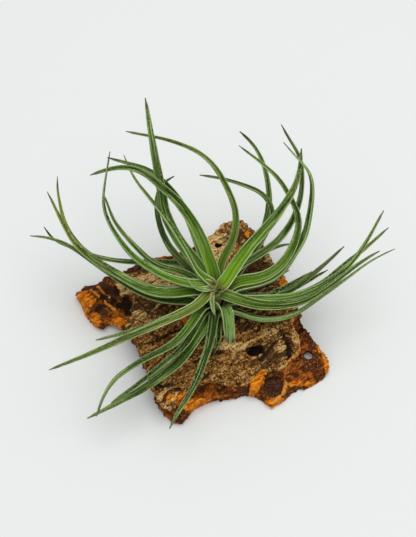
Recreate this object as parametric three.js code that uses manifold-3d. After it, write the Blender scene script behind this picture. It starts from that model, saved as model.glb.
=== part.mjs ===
// Aeranthos air plant: a rosette of narrow channelled leaves on a short hidden stem,
// resting on an arched piece of cork bark.
//
// Millimetres, +Z up. Everything is laid out round the plant's own upright axis (X = Y = 0), with the
// surface that the bark rests on at Z = 0. The last lines move the whole object so that the middle of
// its base is the origin.

import * as THREE from 'three';
import { mergeVertices } from 'three/addons/utils/BufferGeometryUtils.js';
import Module from 'manifold-3d';

// Stem: a short cone with a rounded top, seated on a flat spot of the bark
const STEM_FOOT_HEIGHT = 24.4;
const STEM_TOP_HEIGHT = 47;
const STEM_FOOT_RADIUS = 7.4;
const STEM_TOP_RADIUS = 3.8;
const STEM_DOME = 2.2; // height of the rounded top
const STEM_SHOULDER = 0.7; // where the dome bends over, as a share of its radius and of its height
const STEM_SIDES = 20;

// Leaf blades
const FOOT_GAP = 0.35; // between the stem and a leaf's foot, which is cut to the stem's form
const FOOT_DEPTH = 1; // how far inside the stem's side the blade starts before it is cut
const FOOT_NARROWING = 0.5; // width of the foot, as a share of the leaf's full width
const FOOT_SHARE = 0.14; // share of the leaf's length over which it widens from its foot
const TIP_WIDTH = 0.9;
const TAPER_POWER = 1.6; // over 1: the blade narrows slowly at first, then faster towards the point
const RIB_THICKNESS = 1.3; // along the middle at the foot
const RIB_THICKNESS_AT_TIP = 0.8;
const MARGIN_THICKNESS = 0.8;
const FOLD_AT_FOOT = 0.8; // rise of each margin over the rib, as a share of the half width
const FOLD_AT_TIP = 0.5;
const ROLL_SHARE = 0.15; // share of its length over which a rolled leaf leans over to its side
const STATION_SPACING = 5.5;
const FEWEST_STATIONS = 6;
const MOST_STATIONS = 24;
const YOUNG_LEAF_HEIGHT = 41; // leaves rooted higher than this are young and paler

// Each leaf, the oldest and lowest first: full width, where its foot meets the stem (turn round the
// axis in degrees from +X, and height), then the points its rib runs through after the foot. A rolled
// leaf leans over to its right side, as seen from the foot, by so many degrees.
const LEAVES = [
  { width: 4.5, turn: 8, height: 27.1, rib: [[19, 4, 30], [37, 4, 33], [50, 10, 36], [63, 17, 39]] },
  { width: 4.0, turn: 272, height: 27.5, rib: [[1, -13, 30], [2, -21, 31], [-1, -31, 33]] },
  { width: 4.0, turn: 36, height: 28, rib: [[18, 23, 34], [28, 28, 38], [36, 30, 43], [43, 29, 48]] },
  { width: 4.5, turn: 118, height: 31.4,
    rib: [[-19, 22, 39.5], [-27, 29, 47], [-32, 39, 56], [-33, 48, 66], [-30, 55, 71], [-23, 57, 75]] },
  { width: 6.5, turn: 240, height: 28.8,
    rib: [[-4, -10, 34], [-13, -27, 38], [-20, -38, 39], [-28, -45, 39], [-38, -52, 37], [-49, -57, 33],
      [-70, -66, 26]] },
  { width: 5.0, turn: 3, height: 29.5,
    rib: [[16, 2, 33], [30, 0, 37], [41, 3, 40], [52, 10, 43], [62, 17, 49], [71, 24, 55]] },
  { width: 4.5, turn: 66, height: 30.3,
    rib: [[15, 20, 38], [24, 30, 45], [28, 40, 53], [30, 49, 60], [29, 57, 67], [27, 64, 73], [23, 71, 79],
      [18, 76, 83], [13, 79, 86]] },
  { width: 6.0, turn: 192, height: 30.5,
    rib: [[-12, -1, 34], [-28, -2, 38], [-42, 1, 42], [-67, 16, 48], [-81, 25, 52], [-91, 29, 54],
      [-103, 30, 56]] },
  { width: 4.5, turn: 150, height: 28,
    rib: [[-16, 20, 34.5], [-31, 20, 41], [-48, 19, 44], [-62, 20, 46], [-73, 23, 48], [-81, 26, 49],
      [-92, 31, 50], [-96, 37, 53]] },
  { width: 4.0, turn: 24, height: 32, rib: [[16, 12, 36], [29, 10, 40], [41, 14, 45]] },
  { width: 4.5, turn: 211, height: 32.4,
    rib: [[-11, -6.4, 37.6], [-28, -15, 43], [-47, -24, 47], [-65, -29, 48]] },
  { width: 5.5, turn: -8, height: 32.6,
    rib: [[12, -1, 36.3], [30, -4, 41], [46, -2, 46], [58, 2, 51], [72, 12, 59], [82, 19, 63], [94, 29, 68]] },
  { width: 6.5, turn: -56, height: 31.5, roll: -15,
    rib: [[11, -8, 35], [22, -13.5, 38], [32, -15, 41], [43, -13, 43], [57, -4, 46], [72, 6, 50], [85, 15, 54],
      [98, 20, 60]] },
  { width: 5.5, turn: 264, height: 33,
    rib: [[-1, -10, 38], [-3, -27, 42], [-7, -41, 44], [-12, -54, 42], [-18, -63, 39], [-23, -70, 35],
      [-25, -74, 33]] },
  { width: 4.5, turn: 48, height: 33.5,
    rib: [[17, 20, 43], [26, 30, 51], [31, 38, 57], [32, 43, 61], [30, 48, 64], [24, 52, 68], [13, 55, 71],
      [2, 58, 72], [-9, 60, 71]] },
  { width: 6.0, turn: 119, height: 37.7,
    rib: [[-10, 16.5, 46], [-20, 24.5, 58], [-28, 34, 74], [-30, 41, 89], [-34, 58, 112], [-37, 76, 124]] },
  { width: 5.5, turn: 187, height: 34.1,
    rib: [[-13, 1, 40.5], [-36, 1, 47], [-52, 5, 54], [-65, 12, 59], [-75, 19, 64], [-80, 24, 71],
      [-83, 30, 78], [-84, 36, 86], [-85, 41, 91], [-84, 45, 96]] },
  { width: 4.0, turn: 12, height: 34.8, rib: [[11, 1.5, 39.5], [25, -2, 44], [36, 1, 48], [53, 10, 52]] },
  { width: 4.5, turn: 228, height: 34.5,
    rib: [[-7, -9, 40], [-17, -31, 46], [-30, -44, 48], [-43, -54, 45], [-56, -62, 41]] },
  { width: 4.5, turn: 157, height: 36.2,
    rib: [[-14, 10, 45], [-34, 13, 54], [-42, 19, 58], [-49, 25, 63], [-56, 32, 70], [-59, 39, 75],
      [-61, 44, 79]] },
  { width: 4.5, turn: 34, height: 36.5,
    rib: [[13, 15, 45], [26.5, 20, 54], [35.5, 25, 61], [42, 32, 68], [45.5, 39, 74], [47, 46, 81],
      [47, 53, 86], [46, 60, 90], [40, 68, 95], [35, 76, 98]] },
  { width: 5.5, turn: 100, height: 34,
    rib: [[-7, 22.5, 43], [-14, 38, 57], [-21, 47, 68], [-28, 52, 77], [-38, 55, 88], [-47, 55, 93],
      [-58, 56, 97]] },
  { width: 5.5, turn: -14, height: 36.4,
    rib: [[12, -3.5, 42.4], [32, -6, 49], [48, -6, 56], [61, -1, 62], [73, 7, 69], [81, 17, 76], [89, 30, 86]] },
  { width: 5.2, turn: 74, height: 38,
    rib: [[3, 17, 49], [8, 23, 57], [11, 28, 67], [11, 35, 77], [7, 43, 85], [1, 52, 91], [-6, 59, 94],
      [-14, 63, 96], [-25, 67.5, 96], [-49, 76, 91]] },
  { width: 7.0, turn: 188, height: 37.8, roll: 15,
    rib: [[-10, 0, 46], [-22, -4, 51], [-36, -5, 56], [-52, 1, 63], [-65, 7, 70], [-75, 13, 77],
      [-81, 21, 85], [-89, 36, 96]] },
  { width: 5.2, turn: 240, height: 37.6,
    rib: [[-7, -8, 43], [-13, -20, 48], [-22, -33, 52], [-35, -41, 54], [-45, -47, 54], [-54, -53, 51],
      [-59, -59, 46], [-62, -64, 41], [-64, -68, 36]] },
  { width: 7.0, turn: 4.5, height: 38.8, roll: -25,
    rib: [[12, 2, 44.4], [23, 2, 50], [35, 5, 56], [43, 14, 63], [49, 22, 71], [51, 30, 80], [52, 39, 90],
      [50, 46, 99], [45, 49, 104], [35, 57, 111]] },
  { width: 6.5, turn: 160, height: 42, roll: 25,
    rib: [[-12, 0.8, 52.2], [-22, 1, 57.2], [-36, 5, 64], [-46, 10, 72], [-54, 18, 81], [-59, 26, 88],
      [-60, 31, 94], [-57, 43, 108], [-55, 49, 115]] },
  { width: 7.7, turn: 263, height: 39.6, tip: 5.2, roll: -12,
    rib: [[3, -10, 45.8], [6, -23, 56], [6.7, -37.3, 65]] },
  { width: 7.0, turn: 80, height: 40.6, roll: 12,
    rib: [[-1.5, 11.5, 54], [-5, 17, 64], [-9, 23, 75], [-15, 29.5, 84], [-21, 34, 92], [-30, 39, 99],
      [-37, 43, 104], [-46, 46, 105], [-56, 47, 101], [-67, 47, 94]] },
  { width: 6.0, turn: 22, height: 41.5,
    rib: [[13, 5, 50], [25, 4, 56], [36, 8, 64], [42, 15, 73], [45, 24, 81], [43, 31, 87], [39, 37, 91],
      [34, 44, 95], [24, 52, 99], [12, 61, 101]] },
  { width: 5.5, turn: 220, height: 41.8,
    rib: [[-9, -9, 50], [-25, -21, 57], [-43, -31, 61], [-64, -41, 61], [-88, -49, 56]] },
  { width: 6.5, turn: -29, height: 43.4,
    rib: [[10, -5.6, 49], [24, -11, 52], [37, -13, 57], [48, -12, 61], [63, -4, 67], [76, 5, 72], [87, 11, 76]] },
  { width: 5.3, turn: 137, height: 45.5, roll: 35,
    rib: [[-9, 5.5, 53.5], [-17, 14, 69], [-27, 27, 80], [-34, 35, 85], [-42.5, 45.5, 88], [-46.5, 53, 88],
      [-50, 63, 88]] },
  { width: 2.5, turn: 248, height: 45.4, rib: [[-2.3, -10, 49.8], [-0.3, -17, 51.8]] },
  { width: 7.0, turn: 46, height: 44.3, roll: 20,
    rib: [[9, 9, 57], [18, 17, 70], [29, 25, 82], [36, 31, 91], [41, 38, 96], [44, 47, 100], [45, 58, 103]] },
  { width: 3.5, turn: 198, height: 45.8, rib: [[-9, -3, 55], [-14, -2, 60], [-16, 2, 63]] },
  { width: 3.2, turn: 110, height: 46.6, rib: [[-2, 2.5, 56]] },
  { width: 3.2, turn: -5, height: 46.6, rib: [[3.5, 0, 56]] },
  { width: 3.0, turn: 282, height: 46.4, rib: [[1, -5, 55]] },
];

// Cork bark: an arched slab. The outline of the whole piece in plan, clockwise from its left corner
const BARK_OUTLINE = [
  [-82, 16], [-78, 23], [-70, 24], [-65, 29], [-57, 31], [-49, 34], [-41, 40], [-29, 41], [-16, 46],
  [-7, 49], [-1, 55], [5, 61], [14, 63], [19, 57], [25, 50], [31, 34], [37, 24], [42, 14], [46, 5],
  [50, -4], [55, -11], [60, -19], [65, -26], [63, -33], [54, -41], [47, -41], [39, -48], [32, -52],
  [25, -47], [17, -44], [9, -46], [-1, -48], [-11, -52], [-20, -62], [-26, -58], [-32, -53], [-36, -43],
  [-41, -30], [-46, -18], [-53, -8], [-61, -2], [-67, -5], [-74, 2], [-78, 10],
];
const OUTLINE_SIDES = 110;

// The outer cork, which has broken away from both ends and from one side; where it reaches the edge of
// the bark, its outline passes outside that edge and is cut to it
const OUTER_CORK_OUTLINE = [
  [-60, 21], [-56, 17], [-55, 10], [-50, 4], [-48, -3], [-49, -8], [-57, -12], [-45, -34], [-33, -58],
  [-25, -58], [-20, -51], [-16, -48], [-9, -44], [-1, -42], [7, -43], [15, -43], [20, -41], [25, -37.5],
  [31, -35], [37, -33], [40.5, -29.5], [45, -25], [47, -20], [46, -13], [43, -7], [53, 0], [44, 27], [28, 55],
  [15, 68], [-1, 60], [-6, 47], [-11, 40], [-18, 37], [-27, 33], [-37, 32], [-45, 30], [-53, 27],
];

const GRAIN_TURN = 30; // degrees from +X: the way the bark's ridges run
const SEAT_GAP = 0.35; // between the bark's flat spot and the stem's foot
const SLAB_LENGTH = 128; // the slab before it is cut to the outline, along the grain
const SLAB_WIDTH = 126;
const SLAB_MIDDLE = [-8, 2]; // along and across the grain
const SLAB_STEPS_ALONG = 30;
const SLAB_STEPS_ACROSS = 42;
const CREST_HEIGHT = 25; // top of the arch
const ARCH_HALF_WIDTH = 52;
const ARCH_DROP = 15; // fall of the outer cork from the crest to the broken edges
const LEDGE_CREST_HEIGHT = 15; // inner cork that shows where the outer layer has broken off
const LEDGE_DROP = 8;
const HOLLOW_HEIGHT = 9; // of the hollow under the arch, which leaves a flat strip on each side
const HOLLOW_HALF_WIDTH = 36;
const HOLLOW_STEPS = 12;
const SEAT_RADIUS = 12; // flat spot under the stem
const SEAT_HEIGHT = STEM_FOOT_HEIGHT - SEAT_GAP;

// Relief of the bark: ridges along the grain, broken here and there, over broad lumps. Each length or
// width is that of one whole wave, along or across the grain.
const RIDGE_HEIGHT = 1;
const RIDGE_WIDTH = 10;
const RIDGE_WANDER = 1.3; // radians
const RIDGE_WANDER_LENGTH = 70;
const RIDGE_BREAK = 0.4; // share of a ridge's height that comes and goes
const RIDGE_BREAK_LENGTH = 48;
const RIDGE_BREAK_SLANT = 1.5; // shift of the breaks along the grain for each millimetre across it
const LUMP_HEIGHT = 1.3;
const LUMP_LENGTH = 57;
const LUMP_WIDTH = 37;
const LUMP_SHIFT = [15, 2]; // along and across the grain

// Pits: middle in plan, half length along the grain, half width, depth; some lie in the inner cork
const PITS = [
  { at: [-52, 6], length: 5, width: 6.5, depth: 8 },
  { at: [22, -24], length: 4.6, width: 3, depth: 7 },
  { at: [1.5, 43], length: 2.6, width: 1.6, depth: 4 },
  { at: [-66, 12], length: 4, width: 3, depth: 4, onLedge: true },
  { at: [32, -40], length: 6, width: 5, depth: 3.5, onLedge: true },
];
const HOLE_AT = [53, -22.5]; // drilled right through
const HOLE_RADIUS = 2.4;
const HOLE_SIDES = 16;

// The corner with the hole stands clear of the surface: middle in plan, half sizes along the grain and
// across it, and how far the bark is off the surface
const LIFTED_CORNER = { at: [54, -24], length: 15, width: 13, height: 5.5 };

const wasm = await Module();
wasm.setup();

// The materials
const leafGreen = new THREE.MeshStandardMaterial({ color: 0x5f7d45, roughness: 0.75, metalness: 0 });
const youngGreen = new THREE.MeshStandardMaterial({ color: 0x86a457, roughness: 0.7, metalness: 0 });
const stemBrown = new THREE.MeshStandardMaterial({ color: 0x6d6a3c, roughness: 0.9, metalness: 0 });
const corkBrown = new THREE.MeshStandardMaterial({ color: 0x8a5a30, roughness: 0.95, metalness: 0 });

function radians(degrees) {
  return THREE.MathUtils.degToRad(degrees);
}

function closedGeometry(points, triangles) {
  const geometry = new THREE.BufferGeometry();
  geometry.setAttribute('position', new THREE.Float32BufferAttribute(points.flat(), 3));
  geometry.setIndex(triangles.flat());
  return geometry;
}

// Keeps only the points and faces, with points at one place merged into one.
function withoutSeams(geometry) {
  const bare = new THREE.BufferGeometry();
  bare.setAttribute('position', geometry.getAttribute('position'));
  if (geometry.getIndex()) {
    bare.setIndex(geometry.getIndex());
  }
  return mergeVertices(bare, 1e-4);
}

function solidOf(geometry) {
  const merged = withoutSeams(geometry);
  return new wasm.Manifold(new wasm.Mesh({
    numProp: 3,
    vertProperties: new Float32Array(merged.getAttribute('position').array),
    triVerts: new Uint32Array(merged.getIndex().array),
  }));
}

function geometryOf(solid) {
  const mesh = solid.getMesh();
  const geometry = new THREE.BufferGeometry();
  geometry.setAttribute('position', new THREE.BufferAttribute(new Float32Array(mesh.vertProperties), 3));
  geometry.setIndex(new THREE.BufferAttribute(new Uint32Array(mesh.triVerts), 1));
  return geometry;
}

// Stem

function stemRadius(height) {
  const share = (height - STEM_FOOT_HEIGHT) / (STEM_TOP_HEIGHT - STEM_FOOT_HEIGHT);
  return THREE.MathUtils.lerp(STEM_FOOT_RADIUS, STEM_TOP_RADIUS, share);
}

function stemGeometry(swelling = 0) {
  const foot = STEM_FOOT_RADIUS + swelling;
  const top = STEM_TOP_RADIUS + swelling;
  const dome = STEM_DOME + swelling;
  const profile = [
    [0, STEM_FOOT_HEIGHT - swelling],
    [foot, STEM_FOOT_HEIGHT - swelling],
    [top, STEM_TOP_HEIGHT],
    [top * STEM_SHOULDER, STEM_TOP_HEIGHT + dome * STEM_SHOULDER],
    [0, STEM_TOP_HEIGHT + dome],
  ];
  const geometry = new THREE.LatheGeometry(profile.map(([r, z]) => new THREE.Vector2(r, z)), STEM_SIDES);
  geometry.rotateX(Math.PI / 2);
  return withoutSeams(geometry);
}

// Leaves

function ribCurve(leaf) {
  const reach = stemRadius(leaf.height) - FOOT_DEPTH;
  const turn = radians(leaf.turn);
  const foot = new THREE.Vector3(reach * Math.cos(turn), reach * Math.sin(turn), leaf.height);
  const points = [foot, ...leaf.rib.map((p) => new THREE.Vector3(...p))];
  return new THREE.CatmullRomCurve3(points, false, 'centripetal');
}

// The blade's upper side faces the sky at the foot and is carried along the rib without twisting, apart
// from the leaf's own roll.
function bladeFrames(leaf, curve, count) {
  const frames = [];
  let upper = new THREE.Vector3(0, 0, 1);
  for (let i = 0; i < count; i += 1) {
    const along = i / (count - 1);
    const tangent = curve.getTangentAt(along);
    upper = upper.clone().addScaledVector(tangent, -upper.dot(tangent)).normalize();
    const roll = radians(leaf.roll ?? 0) * THREE.MathUtils.smoothstep(along, 0, ROLL_SHARE);
    const leaning = upper.clone().applyAxisAngle(tangent, roll);
    const across = new THREE.Vector3().crossVectors(tangent, leaning);
    frames.push({ along, at: curve.getPointAt(along), upper: leaning, across });
  }
  return frames;
}

function bladeWidth(leaf, along) {
  const tip = leaf.tip ?? TIP_WIDTH;
  const taper = 1 - along ** TAPER_POWER;
  const foot = THREE.MathUtils.smoothstep(along, 0, FOOT_SHARE);
  const widening = THREE.MathUtils.lerp(FOOT_NARROWING, 1, foot);
  return (tip + (leaf.width - tip) * taper) * widening;
}

// Each station has three points on the upper side (margin, rib, margin) and three under them. Both
// sides are split along the same diagonals, so that they stay parallel where the blade bends.
function bladeGeometry(leaf) {
  const points = [];
  const triangles = [];
  const curve = ribCurve(leaf);
  const stations = Math.round(curve.getLength() / STATION_SPACING);
  const frames = bladeFrames(leaf, curve, THREE.MathUtils.clamp(stations, FEWEST_STATIONS, MOST_STATIONS));
  for (const { along, at, upper, across } of frames) {
    const half = bladeWidth(leaf, along) / 2;
    const rise = half * THREE.MathUtils.lerp(FOLD_AT_FOOT, FOLD_AT_TIP, along);
    const rib = THREE.MathUtils.lerp(RIB_THICKNESS, RIB_THICKNESS_AT_TIP, along);
    for (const side of [1, -1]) {
      for (const column of [-1, 0, 1]) {
        const thickness = column === 0 ? rib : MARGIN_THICKNESS;
        const lift = Math.abs(column) * rise + (side * thickness) / 2;
        const point = at.clone().addScaledVector(across, column * half).addScaledVector(upper, lift);
        points.push(point.toArray());
      }
    }
  }
  const ring = 6;
  for (let i = 0; i + 1 < frames.length; i += 1) {
    const a = i * ring;
    const b = a + ring;
    for (const column of [0, 1]) {
      const c = column;
      triangles.push([a + c, a + c + 1, b + c + 1], [a + c, b + c + 1, b + c]);
      const d = column + 3;
      triangles.push([a + d, b + d + 1, a + d + 1], [a + d, b + d, b + d + 1]);
    }
    triangles.push([a, b, b + 3], [a, b + 3, a + 3]);
    triangles.push([a + 2, b + 5, b + 2], [a + 2, a + 5, b + 5]);
  }
  const end = (frames.length - 1) * ring;
  triangles.push([0, 3, 4], [0, 4, 1], [1, 4, 5], [1, 5, 2]);
  triangles.push([end, end + 4, end + 3], [end, end + 1, end + 4]);
  triangles.push([end + 1, end + 5, end + 4], [end + 1, end + 2, end + 5]);
  return closedGeometry(points, triangles);
}

function leafGeometry(leaf, stemAndGap) {
  return geometryOf(solidOf(bladeGeometry(leaf)).subtract(stemAndGap));
}

// Cork bark

function alongAndAcrossGrain(x, y) {
  const turn = radians(GRAIN_TURN);
  const along = x * Math.cos(turn) + y * Math.sin(turn);
  const across = y * Math.cos(turn) - x * Math.sin(turn);
  return [along, across];
}

function wave(distance, length, phase = 0) {
  return Math.sin((distance / length) * 2 * Math.PI + phase);
}

function barkRelief(x, y) {
  const [along, across] = alongAndAcrossGrain(x, y);
  const ridges = wave(across, RIDGE_WIDTH, RIDGE_WANDER * wave(along, RIDGE_WANDER_LENGTH));
  const breaks = wave(along + RIDGE_BREAK_SLANT * across, RIDGE_BREAK_LENGTH);
  const unbroken = 1 - RIDGE_BREAK * (1 - breaks);
  const lumps = wave(along + LUMP_SHIFT[0], LUMP_LENGTH) * wave(across + LUMP_SHIFT[1], LUMP_WIDTH);
  return RIDGE_HEIGHT * ridges * unbroken + LUMP_HEIGHT * lumps;
}

function outerCorkHeight(x, y) {
  const across = alongAndAcrossGrain(x, y)[1];
  const arched = CREST_HEIGHT - ARCH_DROP * (across / ARCH_HALF_WIDTH) ** 2 + barkRelief(x, y);
  const away = THREE.MathUtils.smoothstep(Math.hypot(x, y), SEAT_RADIUS, SEAT_RADIUS * 2);
  return THREE.MathUtils.lerp(SEAT_HEIGHT, arched, away);
}

function ledgeHeight(x, y) {
  const across = alongAndAcrossGrain(x, y)[1];
  return LEDGE_CREST_HEIGHT - LEDGE_DROP * (across / ARCH_HALF_WIDTH) ** 2 + barkRelief(x, y);
}

// A slab that lies with the grain, flat below, its top at the given height everywhere
function slabUnder(heightAt) {
  const slab = new THREE.BoxGeometry(SLAB_LENGTH, SLAB_WIDTH, 1, SLAB_STEPS_ALONG, SLAB_STEPS_ACROSS, 1);
  slab.translate(SLAB_MIDDLE[0], SLAB_MIDDLE[1], 0.5);
  slab.rotateZ(radians(GRAIN_TURN));
  const points = slab.getAttribute('position');
  for (let i = 0; i < points.count; i += 1) {
    if (points.getZ(i) > 0.5) {
      points.setZ(i, heightAt(points.getX(i), points.getY(i)));
    }
  }
  return solidOf(slab);
}

function prismOver(outline, sides) {
  const corners = outline.map(([x, y]) => new THREE.Vector3(x, y, 0));
  const curve = new THREE.CatmullRomCurve3(corners, true, 'centripetal');
  const shape = new THREE.Shape(curve.getSpacedPoints(sides).slice(1).map((p) => new THREE.Vector2(p.x, p.y)));
  return solidOf(new THREE.ExtrudeGeometry(shape, { depth: 2 * CREST_HEIGHT, bevelEnabled: false }));
}

// A tunnel with a parabola for its roof, which runs the whole length of the slab
function hollowGeometry() {
  const roof = [];
  for (let i = 0; i <= HOLLOW_STEPS; i += 1) {
    const share = -1 + (2 * i) / HOLLOW_STEPS;
    roof.push(new THREE.Vector2(share * HOLLOW_HALF_WIDTH, HOLLOW_HEIGHT * (1 - share ** 2)));
  }
  roof.push(new THREE.Vector2(HOLLOW_HALF_WIDTH, -1), new THREE.Vector2(-HOLLOW_HALF_WIDTH, -1));
  const geometry = new THREE.ExtrudeGeometry(new THREE.Shape(roof), { depth: SLAB_LENGTH, bevelEnabled: false });
  geometry.translate(0, 0, SLAB_MIDDLE[0] - SLAB_LENGTH / 2);
  geometry.rotateX(Math.PI / 2);
  geometry.rotateZ(Math.PI / 2);
  geometry.rotateZ(radians(GRAIN_TURN));
  return geometry;
}

// A rounded cutter with its longest way along the grain
function cutterGeometry([length, width, height], [x, y, z]) {
  const geometry = new THREE.IcosahedronGeometry(1, 2);
  geometry.scale(length, width, height);
  geometry.rotateZ(radians(GRAIN_TURN));
  geometry.translate(x, y, z);
  return geometry;
}

function pitGeometry({ at: [x, y], length, width, depth, onLedge }) {
  const surface = (onLedge ? ledgeHeight : outerCorkHeight)(x, y);
  return cutterGeometry([length, width, depth], [x, y, surface]);
}

function liftedCornerGeometry() {
  const { at: [x, y], length, width, height } = LIFTED_CORNER;
  return cutterGeometry([length, width, height], [x, y, 0]);
}

function holeGeometry() {
  const [x, y] = HOLE_AT;
  const geometry = new THREE.CylinderGeometry(HOLE_RADIUS, HOLE_RADIUS, 4 * CREST_HEIGHT, HOLE_SIDES);
  geometry.rotateX(Math.PI / 2);
  geometry.translate(x, y, 0);
  return geometry;
}

function barkGeometry() {
  const wholeOutline = prismOver(BARK_OUTLINE, OUTLINE_SIDES);
  const outerOutline = prismOver(OUTER_CORK_OUTLINE, OUTLINE_SIDES);
  let solid = slabUnder(ledgeHeight).add(slabUnder(outerCorkHeight).intersect(outerOutline));
  solid = solid.intersect(wholeOutline);
  const cutters = [hollowGeometry(), ...PITS.map(pitGeometry), holeGeometry(), liftedCornerGeometry()];
  for (const cutter of cutters) {
    solid = solid.subtract(solidOf(cutter));
  }
  return geometryOf(solid);
}

// The assembly

const plant = new THREE.Group();

function addPiece(name, geometry, material) {
  const piece = new THREE.Mesh(geometry, material);
  piece.name = name;
  plant.add(piece);
}

addPiece('cork_bark', barkGeometry(), corkBrown);
addPiece('stem', stemGeometry(), stemBrown);
const stemAndGap = solidOf(stemGeometry(FOOT_GAP));
LEAVES.forEach((leaf, index) => {
  const number = String(index + 1).padStart(2, '0');
  const material = leaf.height > YOUNG_LEAF_HEIGHT ? youngGreen : leafGreen;
  addPiece(`leaf_${number}`, leafGeometry(leaf, stemAndGap), material);
});

const bounds = new THREE.Box3().setFromObject(plant, true);
const middle = bounds.getCenter(new THREE.Vector3());
plant.position.set(-middle.x, -middle.y, -bounds.min.z);

const aeranthosOnBark = new THREE.Group();
aeranthosOnBark.add(plant);

export default aeranthosOnBark;
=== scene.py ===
"""An aeranthos air plant on a piece of cork bark.

Every leaf and the bark are made again here, finer than the solids that they stand for and in the same
place. Lengths are in millimetres from the plant's upright axis, and MM turns them into metres where a
mesh is made.
"""

import math
from dataclasses import dataclass

import bpy
from mathutils import Matrix, Vector, noise


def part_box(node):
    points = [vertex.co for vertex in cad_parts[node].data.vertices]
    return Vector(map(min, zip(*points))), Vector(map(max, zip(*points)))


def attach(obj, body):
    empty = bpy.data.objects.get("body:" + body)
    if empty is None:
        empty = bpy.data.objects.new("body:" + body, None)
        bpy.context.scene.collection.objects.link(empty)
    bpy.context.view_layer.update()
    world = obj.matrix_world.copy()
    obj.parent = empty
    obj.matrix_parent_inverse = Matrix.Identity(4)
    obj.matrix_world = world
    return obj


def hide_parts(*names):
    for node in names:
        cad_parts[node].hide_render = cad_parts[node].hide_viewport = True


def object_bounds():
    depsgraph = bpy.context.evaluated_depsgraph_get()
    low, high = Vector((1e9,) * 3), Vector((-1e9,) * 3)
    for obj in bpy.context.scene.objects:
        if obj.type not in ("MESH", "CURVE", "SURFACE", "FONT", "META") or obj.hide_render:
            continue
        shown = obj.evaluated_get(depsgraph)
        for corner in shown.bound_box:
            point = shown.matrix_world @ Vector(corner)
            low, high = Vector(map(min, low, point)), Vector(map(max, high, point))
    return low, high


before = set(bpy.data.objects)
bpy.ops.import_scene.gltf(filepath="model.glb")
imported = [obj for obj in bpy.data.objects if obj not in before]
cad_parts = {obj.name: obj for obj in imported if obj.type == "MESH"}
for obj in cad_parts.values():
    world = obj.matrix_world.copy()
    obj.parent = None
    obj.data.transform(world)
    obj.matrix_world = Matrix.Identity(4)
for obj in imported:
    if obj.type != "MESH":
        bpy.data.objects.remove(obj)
cad_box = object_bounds()

MM = 0.001

noise.seed_set(3)  # the bends of the bark's crags start from it, and are the same in every run

# The plant's upright axis, and the surface that the bark rests on
stem_low, stem_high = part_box("stem")
AXIS = Vector(((stem_low.x + stem_high.x) / 2, (stem_low.y + stem_high.y) / 2, cad_box[0].z))

# Stem: the heights of its foot and its top, and its radius at both
STEM_FOOT_HEIGHT = 24.4
STEM_TOP_HEIGHT = 47
STEM_FOOT_RADIUS = 7.4
STEM_TOP_RADIUS = 3.8

# A lower leaf starts as a broad sheath that lies round the stem, and opens into its blade
SHEATH_RISE = 4.5  # how far up the stem the sheath runs before the blade leaves it
SHEATH_CLEARANCE = 0.4
SHEATH_SPREAD = 1.7  # width of the sheath round its curve, as a share of the blade's width
SHEATH_END = 15  # along the leaf, where the sheath has become the blade
LOWEST_SHEATH = 25.2

# The bases of the innermost leaves close over the stem's top, each turned a little past the next one
INNER_LEAF_HEIGHT = 41.6  # leaves rooted higher than this do so
INNER_FOOT_HEIGHT = 49.2
INNER_FOOT_RISE = 0.3  # for each millimetre that the leaf is rooted higher
INNER_FOOT_DIP = 1.9  # down into the funnel between them
INNER_FOOT_REACH = 0.6  # from the axis, away from the leaf's own side
INNER_FOOT_SWIRL = 1.3  # to the leaf's right
INNER_FOOT_NARROWING = 0.55
INNER_WIDENING = 7  # over which an inner leaf reaches its width
INNER_SHEATH_FADE = (3, 10)  # along the leaf, where the colour of its base goes over into the blade's

# Blades
TIP_WIDTH = 1.0
TAPER = 1.65  # over 1: the blade narrows slowly at first, then faster towards the point
POINT_LENGTH = 5  # over which a whole tip closes to a point
POINT_NARROWING = 0.3
RIB_THICKNESS = 1.2
RIB_THICKNESS_AT_TIP = 0.45
MARGIN_THICKNESS = 0.4
THINNING = 1.5  # over 1: the blade thins slowly beside the rib, then faster towards the margin
CURL_AT_FOOT = math.radians(82)  # how far each half of the blade curls up from its rib
CURL_AT_TIP = math.radians(58)
ROLL_SHARE = 0.15  # share of its length over which a rolled leaf leans over
WIDTH_VARIATION = 0.05  # as a share of the width
WIDTH_VARIATION_PACE = 0.12  # how often the width varies in a millimetre of length
RUFFLE = 0.12  # height of the margins' waves
RUFFLE_PACE = 0.25
YELLOWING = (0.5, 0.85)  # along a yellow leaf, where it turns yellow
SPOT_CORE = 0.01  # half the length of a yellow spot and of its halo, as shares of the leaf's length
SPOT_REACH = 0.05
STATION_SPACING = 1.3
SMOOTHING_PASSES = 20
COLUMNS = 14

# Each leaf's number, times these, sets its widths, ruffles and stripes apart from the other leaves'
WIDTH_STEP = 7.3
RUFFLE_STEP = 3.1
STRIPE_STEP = 3.7


@dataclass(frozen=True)
class Tone:
    """A leaf's colouring, each part of it from 0 on.

    light: how light the leaf is; glow: how bright its channel is; olive: how olive it is; dry: the share
    of it that is dry; silver: how much of the back's silvery colour the channel has; yellow: how yellow
    its outer part is; spot: where along it a yellow spot is (0 for nowhere).
    """

    light: float = 0.45
    glow: float = 0.45
    olive: float = 0.15
    dry: float = 0.06
    silver: float = 0
    yellow: float = 0
    spot: float = 0


# The darkest tone, for old low leaves under the others, is partly their own dark colour and partly painted
# shade
DARK_AND_SHADED = Tone(light=0.1, glow=0.12, olive=0.1, dry=0.08)
DULL = Tone(light=0.3, glow=0.3, olive=0.15, dry=0.07)
YOUNG = Tone(light=0.7, glow=1.0, olive=0.2, dry=0.04)
HEART = Tone(light=0.6, glow=0.3, olive=1.0, dry=0.01, yellow=0.4)


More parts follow.
